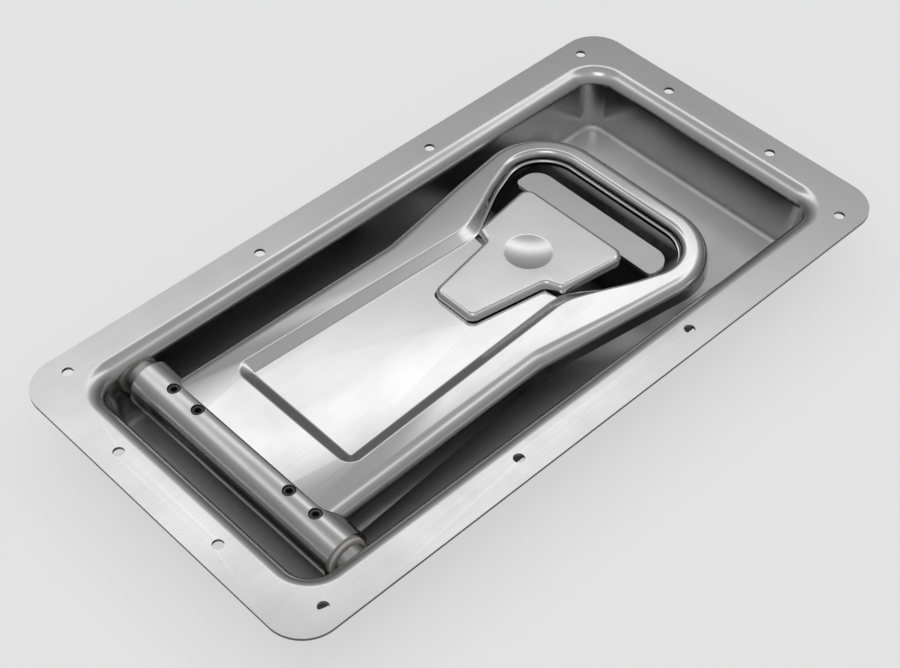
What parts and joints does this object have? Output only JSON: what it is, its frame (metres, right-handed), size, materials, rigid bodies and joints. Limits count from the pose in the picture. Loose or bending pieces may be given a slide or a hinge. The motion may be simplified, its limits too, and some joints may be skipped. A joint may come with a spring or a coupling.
{
  "type": "flush latch",
  "caption": "Recessed flush latch: a pressed steel dish with a flange, a lever that lies in the dish and turns a cross shaft, and a thumb trigger in the lever's ring grip.",
  "frame": {"origin": "centre of the flange's corner holes, on the flange's underside, which is the face that seats on the panel", "axes": "+Z out of the dish towards the user, +Y along the dish from the hinge towards the lever's grip, +X along the hinge axis"},
  "size_m": [0.19, 0.368, 0.0335],
  "materials": {
    "dish_steel": "satin stainless sheet, deep drawn",
    "lever_steel": "bright satin stainless pressing",
    "trigger_steel": "satin stainless pressing",
    "hub_steel": "turned stainless tube",
    "shaft_steel": "drawn steel bar",
    "screw_steel": "blackened steel",
    "spring_steel": "oiled spring wire",
    "bush_steel": "turned steel",
    "washer_nylon": "moulded nylon",
    "buffer_rubber": "moulded rubber"
  },
  "bodies": {
    "dish": {"recess_pan": "dish_steel", "shaft_bush_left": "bush_steel", "shaft_bush_right": "bush_steel", "catch_strike": "dish_steel", "rest_buffer_left": "buffer_rubber", "rest_buffer_right": "buffer_rubber"},
    "lever": {"lever_shell": "lever_steel", "hub_tube": "hub_steel", "drive_shaft": "shaft_steel", "hub_screws": "screw_steel", "thrust_washer_left": "washer_nylon", "thrust_washer_right": "washer_nylon", "shaft_ring_left": "screw_steel", "shaft_ring_right": "screw_steel", "trigger_bracket": "lever_steel", "trigger_pin": "shaft_steel", "pin_ring": "screw_steel", "trigger_spring": "spring_steel"},
    "trigger": {"thumb_cap": "trigger_steel", "trigger_carrier": "trigger_steel", "catch_pawl": "trigger_steel"}
  },
  "joints": [
    {"name": "lever_hinge", "type": "hinge", "parent": "dish", "child": "lever", "pos_m": [0, -0.134, -0.012], "axis": [1, 0, 0], "range_deg": [0, 110]},
    {"name": "trigger_hinge", "type": "hinge", "parent": "lever", "child": "trigger", "pos_m": [0, -0.005, -0.0137], "axis": [-1, 0, 0], "range_deg": [0, 9], "stiffness_Nm_per_rad": 1.5, "springref_deg": -11.46, "deforming": ["trigger_spring"]}
  ]
}
